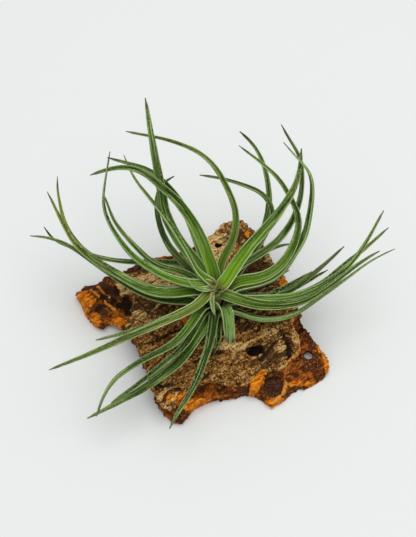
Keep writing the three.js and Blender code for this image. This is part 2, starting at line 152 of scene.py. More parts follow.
@dataclass
class Leaf:
    """Full width, where the foot meets the stem (turn round the axis in degrees, height), and the rib.

    A rolled leaf leans over to its right side, as seen from the foot, by so many degrees. The higher the
    taper, the longer the blade keeps its width.
    """

    width: float
    turn: float
    height: float
    rib: list
    tone: Tone = Tone()
    tip: float = TIP_WIDTH
    roll: float = 0
    taper: float = TAPER


# The leaves, leaf_01 first, from the old ones at the foot of the stem to three small ones in the heart
LEAVES = [
    Leaf(4.5, 8, 27.1, [(19, 4, 30), (37, 4, 33), (50, 10, 36), (63, 17, 39)], tone=DARK_AND_SHADED),
    Leaf(4.0, 272, 27.5, [(1, -13, 30), (2, -21, 31), (-1, -31, 33)], tone=DULL),
    Leaf(4.0, 36, 28, [(18, 23, 34), (28, 28, 38), (36, 30, 43), (43, 29, 48)], tone=DARK_AND_SHADED),
    Leaf(4.5, 118, 31.4, [(-19, 22, 39.5), (-27, 29, 47), (-32, 39, 56), (-33, 48, 66), (-30, 55, 71),
         (-23, 57, 75)], tone=DARK_AND_SHADED),
    Leaf(6.5, 240, 28.8, [(-4, -10, 34), (-13, -27, 38), (-20, -38, 39), (-28, -45, 39), (-38, -52, 37),
         (-49, -57, 33), (-70, -66, 26)], tone=DULL),
    Leaf(5.0, 3, 29.5, [(16, 2, 33), (30, 0, 37), (41, 3, 40), (52, 10, 43), (62, 17, 49), (71, 24, 55)],
         tone=Tone(light=0.05, glow=0.05, olive=0.1, dry=0.3)),
    Leaf(4.5, 66, 30.3, [(15, 20, 38), (24, 30, 45), (28, 40, 53), (30, 49, 60), (29, 57, 67),
         (27, 64, 73), (23, 71, 79), (18, 76, 83), (13, 79, 86)],
         tone=Tone(light=0.5, glow=0.2, olive=0.1, dry=0.12)),
    Leaf(6.0, 192, 30.5, [(-12, -1, 34), (-28, -2, 38), (-42, 1, 42), (-67, 16, 48), (-81, 25, 52),
         (-91, 29, 54), (-103, 30, 56)], tone=DULL),
    Leaf(4.5, 150, 28, [(-16, 20, 34.5), (-31, 20, 41), (-48, 19, 44), (-62, 20, 46), (-73, 23, 48),
         (-81, 26, 49), (-92, 31, 50), (-96, 37, 53)], tone=DARK_AND_SHADED),
    Leaf(4.0, 24, 32, [(16, 12, 36), (29, 10, 40), (41, 14, 45)], tone=DARK_AND_SHADED),
    Leaf(4.5, 211, 32.4, [(-11, -6.4, 37.6), (-28, -15, 43), (-47, -24, 47), (-65, -29, 48)], tone=DULL),
    Leaf(5.5, -8, 32.6, [(12, -1, 36.3), (30, -4, 41), (46, -2, 46), (58, 2, 51), (72, 12, 59),
         (82, 19, 63), (94, 29, 68)], tone=Tone(light=0.5, glow=0.45, olive=0.3, dry=0.05, spot=0.86)),
    Leaf(6.5, -56, 31.5, [(11, -8, 35), (22, -13.5, 38), (32, -15, 41), (43, -13, 43), (57, -4, 46),
         (72, 6, 50), (85, 15, 54), (98, 20, 60)], roll=-15,
         tone=Tone(light=0.7, glow=0.25, olive=0.0, dry=0.06)),
    Leaf(5.5, 264, 33, [(-1, -10, 38), (-3, -27, 42), (-7, -41, 44), (-12, -54, 42), (-18, -63, 39),
         (-23, -70, 35), (-25, -74, 33)], tone=Tone(light=0.05, glow=0.12, olive=0.1, dry=0.08)),
    Leaf(4.5, 48, 33.5, [(17, 20, 43), (26, 30, 51), (31, 38, 57), (32, 43, 61), (30, 48, 64),
         (24, 52, 68), (13, 55, 71), (2, 58, 72), (-9, 60, 71)],
         tone=Tone(light=0.2, glow=0.15, olive=0.2, dry=0.25)),
    Leaf(6.0, 119, 37.7, [(-10, 16.5, 46), (-20, 24.5, 58), (-28, 34, 74), (-30, 41, 89), (-34, 58, 112),
         (-37, 76, 124)], taper=3.4, tone=Tone(light=0.7, glow=0.5, olive=0.1, dry=0.05, silver=0.3)),
    Leaf(5.5, 187, 34.1, [(-13, 1, 40.5), (-36, 1, 47), (-52, 5, 54), (-65, 12, 59), (-75, 19, 64),
         (-80, 24, 71), (-83, 30, 78), (-84, 36, 86), (-85, 41, 91), (-84, 45, 96)], taper=2.4,
         tone=Tone(yellow=0.8, spot=0.82)),
    Leaf(4.0, 12, 34.8, [(11, 1.5, 39.5), (25, -2, 44), (36, 1, 48), (53, 10, 52)], tone=DARK_AND_SHADED),
    Leaf(4.5, 228, 34.5, [(-7, -9, 40), (-17, -31, 46), (-30, -44, 48), (-43, -54, 45), (-56, -62, 41)],
         tone=DARK_AND_SHADED),
    Leaf(4.5, 157, 36.2, [(-14, 10, 45), (-34, 13, 54), (-42, 19, 58), (-49, 25, 63), (-56, 32, 70),
         (-59, 39, 75), (-61, 44, 79)], tone=DULL),
    Leaf(4.5, 34, 36.5, [(13, 15, 45), (26.5, 20, 54), (35.5, 25, 61), (42, 32, 68), (45.5, 39, 74),
         (47, 46, 81), (47, 53, 86), (46, 60, 90), (40, 68, 95), (35, 76, 98)], taper=3,
         tone=Tone(light=0.6, glow=0.3, olive=0.2, dry=0.12, silver=0.5)),
    Leaf(5.5, 100, 34, [(-7, 22.5, 43), (-14, 38, 57), (-21, 47, 68), (-28, 52, 77), (-38, 55, 88),
         (-47, 55, 93), (-58, 56, 97)]),
    Leaf(5.5, -14, 36.4, [(12, -3.5, 42.4), (32, -6, 49), (48, -6, 56), (61, -1, 62), (73, 7, 69),
         (81, 17, 76), (89, 30, 86)], tone=Tone(light=0.8, glow=0.4, olive=0.1, dry=0.06, silver=0.5)),
    Leaf(5.2, 74, 38, [(3, 17, 49), (8, 23, 57), (11, 28, 67), (11, 35, 77), (7, 43, 85), (1, 52, 91),
         (-6, 59, 94), (-14, 63, 96), (-25, 67.5, 96), (-49, 76, 91)], taper=1.05,
         tone=Tone(light=0.5, glow=0.35, olive=0.6, dry=0.05, yellow=0.6)),
    Leaf(7.0, 188, 37.8, [(-10, 0, 46), (-22, -4, 51), (-36, -5, 56), (-52, 1, 63), (-65, 7, 70),
         (-75, 13, 77), (-81, 21, 85), (-89, 36, 96)], roll=15, taper=2.4,
         tone=Tone(dry=0.04, yellow=0.8)),
    Leaf(5.2, 240, 37.6, [(-7, -8, 43), (-13, -20, 48), (-22, -33, 52), (-35, -41, 54), (-45, -47, 54),
         (-54, -53, 51), (-59, -59, 46), (-62, -64, 41), (-64, -68, 36)],
         tone=Tone(light=0.3, glow=0.45, olive=0.1, dry=0.1)),
    Leaf(7.0, 4.5, 38.8, [(12, 2, 44.4), (23, 2, 50), (35, 5, 56), (43, 14, 63), (49, 22, 71),
         (51, 30, 80), (52, 39, 90), (50, 46, 99), (45, 49, 104), (35, 57, 111)], roll=-25, taper=3,
         tone=Tone(light=0.6, glow=1.1, olive=0.1, dry=0.05)),
    Leaf(6.5, 160, 42, [(-12, 0.8, 52.2), (-22, 1, 57.2), (-36, 5, 64), (-46, 10, 72), (-54, 18, 81),
         (-59, 26, 88), (-60, 31, 94), (-57, 43, 108), (-55, 49, 115)], roll=25, taper=1.2,
         tone=Tone(light=0.7, glow=0.7, olive=0.05, dry=0.06)),
    Leaf(7.7, 273, 39.6, [(4.2, -10, 45.8), (6, -23, 56), (6.7, -37.3, 65)], tip=5.2, roll=-5,
         tone=Tone(light=1.3, glow=0.3, olive=0.2, dry=0.08, silver=1.0)),
    Leaf(7.0, 80, 40.6, [(-1.5, 11.5, 54), (-5, 17, 64), (-9, 23, 75), (-15, 29.5, 84), (-21, 34, 92),
         (-30, 39, 99), (-37, 43, 104), (-46, 46, 105), (-56, 47, 101), (-67, 47, 94)], roll=12,
         tone=YOUNG),
    Leaf(6.0, 22, 41.5, [(13, 5, 50), (25, 4, 56), (36, 8, 64), (42, 15, 73), (45, 24, 81), (43, 31, 87),
         (39, 37, 91), (34, 44, 95), (24, 52, 99), (12, 61, 101)],
         tone=Tone(light=0.5, glow=0.6, olive=0.25, dry=0.05)),
    Leaf(5.5, 220, 41.8, [(-9, -9, 50), (-25, -21, 57), (-43, -31, 61), (-64, -41, 61), (-88, -49, 56)],
         tone=Tone(light=0.5, glow=0.3, olive=0.9, dry=0.06)),
    Leaf(6.5, -29, 43.4, [(10, -5.6, 49), (24, -11, 52), (37, -13, 57), (48, -12, 61), (63, -4, 67),
         (76, 5, 72), (87, 11, 76)], tone=Tone(light=0.18, glow=0.3, olive=0.2, dry=0.05)),
    Leaf(5.3, 137, 45.5, [(-9, 5.5, 53.5), (-17, 14, 69), (-27, 27, 80), (-34, 35, 85), (-42.5, 45.5, 88),
         (-46.5, 53, 88), (-50, 63, 88)], roll=35, tone=Tone(light=0.7, glow=0.45, olive=0.1, dry=0.06)),
    Leaf(2.5, 248, 45.4, [(-2.3, -10, 49.8), (-0.3, -17, 51.8)],
         tone=Tone(light=1.0, glow=0.2, olive=0.1, dry=0.15, silver=0.9)),
    Leaf(7.0, 46, 44.3, [(9, 9, 57), (18, 17, 70), (29, 25, 82), (36, 31, 91), (41, 38, 96),
         (44, 47, 100), (45, 58, 103)], roll=20, tone=Tone(light=0.85, glow=1.1, olive=0.2, dry=0.04)),
    Leaf(3.5, 198, 45.8, [(-9, -3, 55), (-14, -2, 60), (-16, 2, 63)],
         tone=Tone(light=1.2, glow=0.1, olive=0.4, dry=0.05, silver=1.0)),
    Leaf(3.2, 110, 46.6, [(-2, 2.5, 56)], tone=HEART),
    Leaf(3.2, -5, 46.6, [(3.5, 0, 56)], tone=HEART),
    Leaf(3.0, 282, 46.4, [(1, -5, 55)], tone=HEART),
]

# Camera: the photograph looks down on the heart of the rosette
HEART_HEIGHT = 48
CAMERA_ELEVATION = math.radians(65)
CAMERA_DISTANCE = 650
HEART_OFFSET = Vector((4.4, -12.4))  # of the heart from the middle of the view, to the right and up
PHOTO_WIDTH = 416
FOCAL_PIXELS = 1181.8  # focal length, as pixels of the photograph
SENSOR_WIDTH = 36

# Surroundings, in metres and watts: one broad lamp above the plant, and daylight from all sides
FLOOR_REACH = 3.0
LAMP_PLACE = Vector((0.1, 0.0, 1.5))
LAMP_AIM = Vector((0, 0, 0.05))
LAMP_SIZE = 1.0
LAMP_POWER = 15
DAYLIGHT = (0.97, 0.99, 1.0, 1.0)
DAYLIGHT_STRENGTH = 0.6

# Bark: the arch of the outer cork across the grain, and the lower ledge of the inner cork
GRAIN_TURN = math.radians(30)
ARCH_HALF_WIDTH = 52
CREST_HEIGHT = 25
ARCH_DROP = 15
LEDGE_CREST_HEIGHT = 15
LEDGE_DROP = 8
BREAK = (0.45, 0.75)  # shares of the way up from the inner cork to the outer one, between which it begins
BREAK_UNEVENNESS = 0.12
BARK_VOXEL = 0.65

# Patches of the bark with a tone of their own: the middle of each, and half its sizes along X and Y
PATCHES = {
    # Pale worn parts of the outer cork
    "tan": [
        ((-38, 20), (18, 6)), ((-16, 26), (10, 5)), ((-55, 16), (8, 6)), ((1, 44), (8, 15)),
        ((-45, -4), (5, 2.5)), ((-27, -52), (7, 7)), ((32, -13), (6, 3)), ((37, -19), (3, 4)),
        ((10, -22), (7, 3)), ((33, 31), (5, 4)), ((46, 3), (3, 6)), ((45, -12), (1.5, 6)),
    ],
    # Darker parts of it, partly its own colour and partly painted shadow of the leaves
    "dark": [
        ((-34, 1), (20, 6)), ((18, -9), (11, 6)), ((31, -26), (8, 8)), ((16, 46), (4, 9)),
        ((25, 27), (10, 7)), ((-46, 31), (16, 5)), ((-68, 22), (8, 3.5)), ((27, 13), (12, 5)),
        ((-56, 30), (10, 4)), ((32, -41), (6, 8)), ((18, -46), (5, 4)), ((41, -22), (3, 7)),
        ((-66, 2), (3.5, 4)), ((-63, 14), (7, 4)),
    ],
    # Bright and dark parts of the inner cork
    "orange": [
        ((-77, 10), (6, 9)), ((-70, -1), (4, 5)), ((-56, -4), (6, 3)), ((-7, -52), (20, 4)),
        ((34, -50), (8, 3)), ((57, -39), (7, 2.5)), ((46, -39), (5, 2)), ((64, -28), (2, 5)),
        ((19, 51), (1.6, 3.5)), ((40, 15), (3, 5)), ((-16, -7), (4, 2.5)), ((60, -18.5), (1.5, 3)),
    ],
    "red": [
        ((53, -10), (8, 13)), ((32, -41), (7, 9)), ((-60, 14), (8, 6)), ((54, -28), (7, 6)),
        ((-55, 27), (20, 5)), ((-76, 20), (6, 4)), ((16, -47), (6, 3)), ((-73, 5), (4, 4)),
    ],
    # Shaded hollows
    "pit": [((22, -24), (5, 3.2)), ((-52, 6), (6, 6)), ((1.5, 43), (2.8, 1.8)), ((41, -23), (0.8, 4))],
}
PATCH_EDGE = (0.5, 1.3)  # as shares of the reach, where a patch fades out
PATCH_UNEVENNESS = 0.6
UNEVENNESS_PACE = 0.16  # how often the edges' unevenness changes in a millimetre
RAGGED_PACE = 0.45  # and the finer raggedness of torn edges

# Torn edges of the cork that stand up, a crest of the outer cork, and open cracks: each a line in plan
TORN_EDGES = [
    [(43, -4), (46, -13), (48, -19), (47.5, -22), (44, -26), (40, -30), (38.5, -34), (40, -39), (38, -45),
     (33, -49)],
    [(-73, 19), (-66, 11), (-58, 4)],
    [(-69, 21), (-62, 12)],
    [(58, -15), (61, -19), (62, -24)],
]
CRESTS = [[(10, -26), (17, -21), (25, -17), (34, -11)]]
CRACKS = [
    [(37, -12), (40, -17), (42, -23), (42, -27)],
    [(-36, -43), (-30, -46), (-24, -44)],
    [(-30, -56), (-26, -49), (-20, -47)],
    [(-12, -32), (-2, -27), (4, -25)],
    [(-33, -20), (-24, -15), (-17, -12)],
]
RIDGE_HEIGHT = 1.1
RIDGE_SIDE = (0.2, 1.2)  # from a ridge's line, over which it falls
RIDGE_UNEVENNESS = 0.6
RIDGE_RAGGEDNESS = 0.9
CRACK_DEPTH = 2.2
CRACK_SIDE = (0.3, 1.2)
CRACK_UNEVENNESS = 0.4

# A broken chunk of inner cork that stands up at the edge of the outer cork
CHUNK_AT = (23.5, -40)
CHUNK_HALF_LENGTH = 8.2
CHUNK_HALF_WIDTH = 3.4
CHUNK_TURN = math.radians(52)
CHUNK_TOP = 14.2
CHUNK_FOOT = (5, 8)  # heights between which the cork begins to stand up
CHUNK_EDGE = (0.7, 1.0)
CHUNK_RELIEF = 0.7
CHUNK_UNEVENNESS = 0.25

# The drilled hole keeps a smooth edge
HOLE_AT = (53, -22.5)
HOLE_RADIUS = 2.4
HOLE_WIDENING = 0.4
HOLE_EDGE = (0.6, 3)  # from the hole, over which the relief begins

# Relief of the cork, in millimetres up or down
GRANULE_HEIGHT = 0.45
ROW_HEIGHT = 1.1
FISSURE_DEPTH = 1.4
CRAG_STEP = 1.8
CRAG_HEIGHT = 1.6
FIBRE_HEIGHT = 0.5
CREVICE_DEPTH = 0.6
ORANGE_RELIEF = 0.6  # of the inner cork's relief, as a share, and how far it stands up
ORANGE_RISE = 0.3
UNDERSIDE_SMOOTHING = 0.7
FACING = (0.1, 0.6)  # rise of the surface's normal, from a steep side to the top
FACING_DOWN = (0.3, 0.8)

# How often each form of the relief changes in a millimetre, along the grain, across it and upwards
ROWS = (0.13, 0.55, 0.4)
FISSURES = (0.04, 0.2, 0.05)
CROSS_FISSURES = (0.17, 0.06, 0.05)
CROSS_START = 40
CROSS_NARROWING = 1.4
FISSURE_WIDTH = 0.06  # as a value of their noise
CRAGS = (0.2, 0.35, 0.35)
CRAG_MIDDLE = 0.7
CRAG_BLOCKS = (0.09, 0.17, 0.2)
CRAG_BEND = 0.5
CRAG_LEVELS = 7
CREVICE_EDGE = (0.02, 0.16)
TORN_FIBRES = (0.12, 0.8, 0.8)
# The same in every direction
GRANULES_PACE = 0.75
BENDS_PACE = 0.2

# How often each pattern of colour changes in a millimetre, across a blade, along it and between its sides
FINE_STRIPES = (1.5, 0.04, 1.0)
BROAD_STRIPES = (0.75, 0.02, 1.0)
SCALES = (1.7, 1.3, 1.0)
# The same along the grain of the cork, across it and upwards
FLECKS = (0.7, 1.1, 1.1)
FIBRES = (0.14, 0.8, 0.8)
CLODS = (0.35, 0.6, 0.6)
# The same in every direction
SPECKS = 1.1
CLOUDS = 0.16
STEM_MOTTLE = 0.9


def smoothstep(value, low, high):
    share = min(1, max(0, (value - low) / (high - low)))
    return share * share * (3 - 2 * share)


def mix(a, b, share):
    return a + (b - a) * share


def columns(rows):
    """One list of values for each name, from rows that map the names to values."""
    return {name: [row[name] for row in rows] for name in rows[0]}


# Colours


def colour(red, green, blue):
    """A colour as seen on a screen, 0 to 255 each, for a shader."""
    linear = [((c / 255 + 0.055) / 1.055) ** 2.4 if c > 10 else c / 255 / 12.92 for c in (red, green, blue)]
    return (*linear, 1.0)


@dataclass(frozen=True)
class Coat:
    """A colour that lies over others, and how much of them it hides where it is thickest."""

    colour: tuple
    cover: float


# Leaves and stem. A pair of colours runs from the darkest place to the lightest one.
CHANNEL = colour(12, 38, 4), colour(44, 94, 12)
BACK = colour(26, 50, 14), colour(118, 160, 80)
GLOW = Coat(colour(118, 166, 8), 1.0)
OLIVE = Coat(colour(120, 128, 48), 0.7)
OUTER_PART = Coat(colour(82, 90, 50), 0.6)
YELLOW = Coat(colour(146, 146, 34), 0.8)
DARK_STRIPE = Coat(colour(8, 26, 0), 0.85)
SILVERY_STRIPE = Coat(colour(170, 196, 114), 0.65)
# painted shade in the fold along the rib of the channel
FOLD_SHADE = Coat(colour(10, 30, 2), 0.45)
SCURF = Coat(colour(170, 196, 120), 0.6)
MARGIN = Coat(colour(222, 228, 184), 0.8)
SHEATH = colour(78, 64, 24), colour(156, 148, 84)
# painted shade on the sheaths of the dark leaves, in the gaps round the stem
SHADED_SHEATH = Coat(colour(38, 44, 14), 1.0)
SHEATH_COVER = 0.8
DRY_TIP = colour(52, 58, 34), colour(124, 132, 82)
# Stem, its dull olive darkened as painted shade in the gaps between the leaf bases
SHADED_STEM = colour(22, 22, 8), colour(66, 60, 24)

# Outer cork
GRANULES = colour(56, 28, 10), colour(158, 106, 46)
BROWN_FIBRES = Coat(colour(80, 44, 16), 0.7)
PALE_FLECKS = Coat(colour(212, 168, 100), 0.8)
# darker outer cork, partly its own colour and partly painted shadow of the leaves on the bark
DARK_CORK_AND_SHADOW = Coat(colour(44, 24, 10), 0.7)
WORN_CORK = colour(130, 82, 34), colour(242, 204, 134)
WORN_CREST = Coat(colour(210, 168, 104), 0.6)
# painted shade in the outer cork's fissures
FISSURE_SHADE = Coat(colour(34, 18, 8), 0.8)

# Inner cork with its painted shade, and the torn edges of both and the painted shade in their pits
INNER_CORK = colour(78, 40, 12), colour(164, 86, 16)
BROWN_CLODS = Coat(colour(78, 36, 8), 0.7)
RED_CORK = colour(50, 22, 8), colour(106, 52, 22)
ORANGE_CORK = colour(190, 92, 4), colour(236, 146, 26)
CLODS_ON_ORANGE = Coat(colour(112, 54, 8), 0.6)
BRIGHT_FLECKS = Coat(colour(236, 176, 92), 0.4)
# painted shade in the inner cork's hollows
HOLLOW_SHADE = Coat(colour(46, 20, 8), 0.85)
SHADED_CORK = colour(48, 26, 18), colour(96, 62, 40)
SHADE_COVER = 0.85
TORN_CORK = colour(150, 84, 24), colour(226, 154, 70)
# painted shade in the pits of both corks
PIT_SHADE = Coat(colour(26, 12, 6), 0.95)

FLOOR = colour(221, 223, 221)


# Shader building

# The sockets of a node that mixes two colours
MIX_SHARE = 0
MIX_FIRST = 6
MIX_SECOND = 7
MIX_RESULT = 2


class Shader:
    """A material with its node tree, and short ways to add nodes to it."""

    def __init__(self, name):
        self.material = bpy.data.materials.new(name)
        self.material.use_nodes = True
        self.tree = self.material.node_tree
        self.surface = self.tree.nodes["Principled BSDF"]

    def add(self, kind, inputs=(), **settings):
        """A node with its settings and its inputs, each a constant or another node's output."""
        node = self.tree.nodes.new(kind)
        for name, value in settings.items():
            setattr(node, name, value)
        for name, value in dict(inputs).items():
            self.feed(node.inputs[name], value)
        return node

    def feed(self, socket, value):
        if isinstance(value, bpy.types.NodeSocket):
            self.tree.links.new(value, socket)
        else:
            socket.default_value = value

    def finish(self, values):
        """The material, once the surface's inputs have these values."""
        for name, value in values.items():
            self.feed(self.surface.inputs[name], value)
        return self.material

    def maths(self, operation, *values):
        node = self.add("ShaderNodeMath", operation=operation)
        for socket, value in zip(node.inputs, values):
            self.feed(socket, value)
        return node.outputs[0]

    def product(self, *values):
        result = values[0]
        for value in values[1:]:
            result = self.maths("MULTIPLY", result, value)
        return result

    def total(self, a, b):
        return self.maths("ADD", a, b)

    def inverse(self, share):
        """1 where the share is 0, and 0 where it is 1."""
        return self.maths("SUBTRACT", 1.0, share)

    def swing(self, pattern, reach):
        """A pattern's departures from its middle, made as large as the reach says."""
        return self.product(self.maths("SUBTRACT", pattern, 0.5), reach)

    def ramp(self, value, low, high):
        """0 at low, 1 at high, and a smooth rise between."""
        inputs = {"Value": value, "From Min": low, "From Max": high}
        return self.add("ShaderNodeMapRange", inputs, interpolation_type="SMOOTHSTEP").outputs[0]

    def mixed(self, share, a, b):
        node = self.add("ShaderNodeMix", data_type="RGBA")
        self.feed(node.inputs[MIX_SHARE], share)
        self.feed(node.inputs[MIX_FIRST], a)
        self.feed(node.inputs[MIX_SECOND], b)
        return node.outputs[MIX_RESULT]

    def coated(self, base, coat, *shares):
        """The base colour under a coat that shows by the product of the shares."""
        return self.mixed(self.product(*shares, coat.cover), base, coat.colour)

    def attribute(self, name, output="Fac"):
        return self.add("ShaderNodeAttribute", attribute_name=name).outputs[output]

    def noise(self, vector, scale, detail=2.0, roughness=0.5):
        inputs = {"Vector": vector, "Scale": scale, "Detail": detail, "Roughness": roughness}
        return self.add("ShaderNodeTexNoise", inputs).outputs["Fac"]

    def stretched_noise(self, vector, factors, detail=2.0, roughness=0.5):
        node = self.add("ShaderNodeVectorMath", operation="MULTIPLY")
        self.feed(node.inputs[0], vector)
        self.feed(node.inputs[1], factors)
        return self.noise(node.outputs[0], 1.0, detail, roughness)

    def first_number(self, vector):
        return self.add("ShaderNodeSeparateXYZ", {"Vector": vector}).outputs["X"]

    def bump(self, height, distance):
        return self.add("ShaderNodeBump", {"Height": height, "Distance": distance * MM}).outputs[0]


# Leaf material. Each point of a leaf carries "blade" (millimetres across and along, and a number that
# sets leaves and sides apart), "along" (0 at the foot, 1 at the tip), "rim" (millimetres from the
# margin), "upper" (1 in the channel), "sheath" (1 round the stem), "yellow" (1 where it is yellow), and
# its leaf's light, glow, olive, dry and silver.


def leaf_material():
    shader = Shader("leaf_surface")
    blade = shader.attribute("blade", "Vector")
    along, rim, upper, sheath = map(shader.attribute, ("along", "rim", "upper", "sheath"))
    light, glow, olive, dry = map(shader.attribute, ("light", "glow", "olive", "dry"))
    silver, yellow = map(shader.attribute, ("silver", "yellow"))
    fine = shader.stretched_noise(blade, FINE_STRIPES, 2.0, 0.6)
    broad = shader.stretched_noise(blade, BROAD_STRIPES, 1.0)
    scales = shader.stretched_noise(blade, SCALES, 3.0, 0.7)

    # The channel is deep green and turns a bright yellow-green near the foot; the back is greyer
    near_foot = shader.inverse(shader.ramp(along, 0.05, 0.65))
    channel = shader.coated(shader.mixed(light, *CHANNEL), GLOW, near_foot, glow)
    back = shader.mixed(light, *BACK)
    green = shader.mixed(shader.product(upper, shader.inverse(silver)), back, channel)
    green = shader.coated(green, OLIVE, olive)
    green = shader.coated(green, OUTER_PART, shader.ramp(along, 0.4, 0.95))
    green = shader.coated(green, YELLOW, yellow)

    # Stripes along the blade, dark and silvery, weaker in the channel near the foot; painted shade in the
    # fold
    striped = shader.inverse(shader.product(near_foot, upper, 0.65))
    green = shader.coated(green, DARK_STRIPE, shader.ramp(broad, 0.48, 0.56), striped)
    green = shader.coated(green, SILVERY_STRIPE, shader.ramp(fine, 0.54, 0.6), striped)
    from_rib = shader.maths("ABSOLUTE", shader.first_number(blade))
    green = shader.coated(green, FOLD_SHADE, shader.inverse(shader.ramp(from_rib, 0.1, 0.9)), upper)

    # Silvery scurf: small pale scales, closer together on the back, near the margins and on light leaves
    near_rim = shader.inverse(shader.ramp(rim, 0.3, 1.8))
    closeness = shader.total(shader.product(near_rim, 0.1), shader.product(light, 0.04))
    closeness = shader.maths("SUBTRACT", closeness, shader.product(upper, 0.07))
    scurf = shader.ramp(shader.total(scales, closeness), 0.52, 0.64)
    bare = shader.inverse(shader.product(sheath, SHEATH_COVER))
    green = shader.coated(green, SCURF, scurf, bare)

    # Pale margins, clearest near the foot
    outward = shader.inverse(shader.product(shader.ramp(along, 0.1, 0.6), 0.85))
    edge = shader.inverse(shader.ramp(rim, 0.05, 0.36))
    broken = shader.ramp(broad, 0.3, 0.55)
    green = shader.coated(green, MARGIN, edge, outward, broken, shader.total(light, 0.25))

    # Sheaths are paler and brownish between their veins; on dark leaves they carry painted shade
    husk = shader.mixed(shader.ramp(broad, 0.42, 0.58), *SHEATH)
    husk = shader.coated(husk, SHADED_SHEATH, shader.inverse(shader.ramp(light, 0.2, 0.6)))
    green = shader.mixed(shader.product(sheath, SHEATH_COVER), green, husk)

    # Dry tip, with an uneven end
    from_tip = shader.total(shader.inverse(along), shader.swing(scales, 0.04))
    fresh = shader.ramp(shader.maths("DIVIDE", from_tip, dry), 0.4, 1.5)
    tip = shader.mixed(shader.ramp(fine, 0.4, 0.6), *DRY_TIP)

    return shader.finish({
        "Base Color": shader.mixed(fresh, tip, green),
        "Normal": shader.bump(shader.total(fine, shader.product(scurf, 0.4)), 0.15),
        "Roughness": shader.total(shader.product(scurf, 0.2), 0.55),
        "Specular IOR Level": 0.12,
        "Sheen Weight": 0.03,
        "Sheen Roughness": 0.5,
    })


def stem_material():
    shader = Shader("stem_surface")
    place = shader.add("ShaderNodeTexCoord").outputs["Object"]
    mottle = shader.noise(place, STEM_MOTTLE / MM, 4.0, 0.6)
    return shader.finish({
        "Base Color": shader.mixed(mottle, *SHADED_STEM),
        "Normal": shader.bump(mottle, 0.3),
        "Roughness": 0.8,
    })


# Leaf geometry


def stem_radius(height):
    share = (height - STEM_FOOT_HEIGHT) / (STEM_TOP_HEIGHT - STEM_FOOT_HEIGHT)
    return mix(STEM_FOOT_RADIUS, STEM_TOP_RADIUS, share)


def curve_through(points, steps=16):
    """A smooth curve through all the points (centripetal Catmull-Rom), as a fine polyline."""
    ends = [2 * points[0] - points[1], *points, 2 * points[-1] - points[-2]]
    fine = []
    for p0, p1, p2, p3 in zip(ends, ends[1:], ends[2:], ends[3:]):
        t0 = 0.0
        t1 = t0 + (p1 - p0).length ** 0.5
        t2 = t1 + (p2 - p1).length ** 0.5
        t3 = t2 + (p3 - p2).length ** 0.5
        for k in range(steps):
            t = mix(t1, t2, k / steps)
            a1 = p0.lerp(p1, (t - t0) / (t1 - t0))
            a2 = p1.lerp(p2, (t - t1) / (t2 - t1))
            a3 = p2.lerp(p3, (t - t2) / (t3 - t2))
            b1 = a1.lerp(a2, (t - t0) / (t2 - t0))
            b2 = a2.lerp(a3, (t - t1) / (t3 - t1))
            fine.append(b1.lerp(b2, (t - t1) / (t2 - t1)))
    fine.append(points[-1].copy())
    return fine


def evenly_spaced(line, spacing):
    """The same polyline with points at equal distances, and its length."""
    lengths = [0.0]
    for a, b in zip(line, line[1:]):
        lengths.append(lengths[-1] + (b - a).length)
    whole = lengths[-1]
    count = round(whole / spacing) + 1
    spaced = []
    i = 0
    for k in range(count):
        target = whole * k / (count - 1)
        while i + 2 < len(lengths) and lengths[i + 1] < target:
            i += 1
        spaced.append(line[i].lerp(line[i + 1], (target - lengths[i]) / (lengths[i + 1] - lengths[i])))
    return spaced, whole


def smoothed(points, passes):
    for _ in range(passes):
        middle = [(a + 2 * b + c) / 4 for a, b, c in zip(points, points[1:], points[2:])]
        points = [points[0], *middle, points[-1]]
    return points


def is_inner(leaf):
    return leaf.height > INNER_LEAF_HEIGHT and len(leaf.rib) > 1


def leaf_rib(leaf):
    """The leaf's middle line from its low end to its tip, its length, and the way its channel faces."""
    turn = math.radians(leaf.turn)
    outward = Vector((math.cos(turn), math.sin(turn), 0))
    foot = []
    if is_inner(leaf):
        right = Vector((outward.y, -outward.x, 0))
        height = INNER_FOOT_HEIGHT + INNER_FOOT_RISE * (leaf.height - INNER_LEAF_HEIGHT)
        start = right * INNER_FOOT_SWIRL - outward * INNER_FOOT_REACH
        foot.append(start + Vector((0, 0, height - INNER_FOOT_DIP)))
        foot.append(start + outward * STEM_TOP_RADIUS + Vector((0, 0, height)))
    else:
        for height in (max(leaf.height - SHEATH_RISE, LOWEST_SHEATH), leaf.height):
            foot.append(outward * (stem_radius(height) + SHEATH_CLEARANCE) + Vector((0, 0, height)))
    points, length = evenly_spaced(curve_through([*foot, *map(Vector, leaf.rib)]), STATION_SPACING)
    return smoothed(points, SMOOTHING_PASSES), length, Vector((0, 0, 1)) if is_inner(leaf) else -outward


def half_and_curl(leaf, distance, length):
    """Half the width round the curve, and how far each half curls up from the rib."""
    along = distance / length
    width = leaf.tip + (leaf.width - leaf.tip) * (1 - along**leaf.taper)
    if leaf.tip == TIP_WIDTH:
        width *= mix(POINT_NARROWING, 1, smoothstep(length - distance, 0, POINT_LENGTH))
    curl = mix(CURL_AT_FOOT, CURL_AT_TIP, along)
    half = width / 2 * curl / math.sin(curl)
    if is_inner(leaf):
        widening = min(INNER_WIDENING, length / 3)
        return half * mix(INNER_FOOT_NARROWING, 1, smoothstep(distance, 0, widening)), curl
    opened = smoothstep(distance, SHEATH_RISE / 2, SHEATH_END)
    sheath_half = leaf.width / 2 * SHEATH_SPREAD
    sheath_curl = sheath_half / (stem_radius(leaf.height) + SHEATH_CLEARANCE)
    return mix(sheath_half, half, opened), mix(sheath_curl, curl, opened)


@dataclass
class Station:
    """A cross-section of a blade: its places along the leaf and in space, its upright and its form."""

    distance: float
    along: float
    rib: Vector
    up: Vector
    across: Vector
    half: float
    curl: float


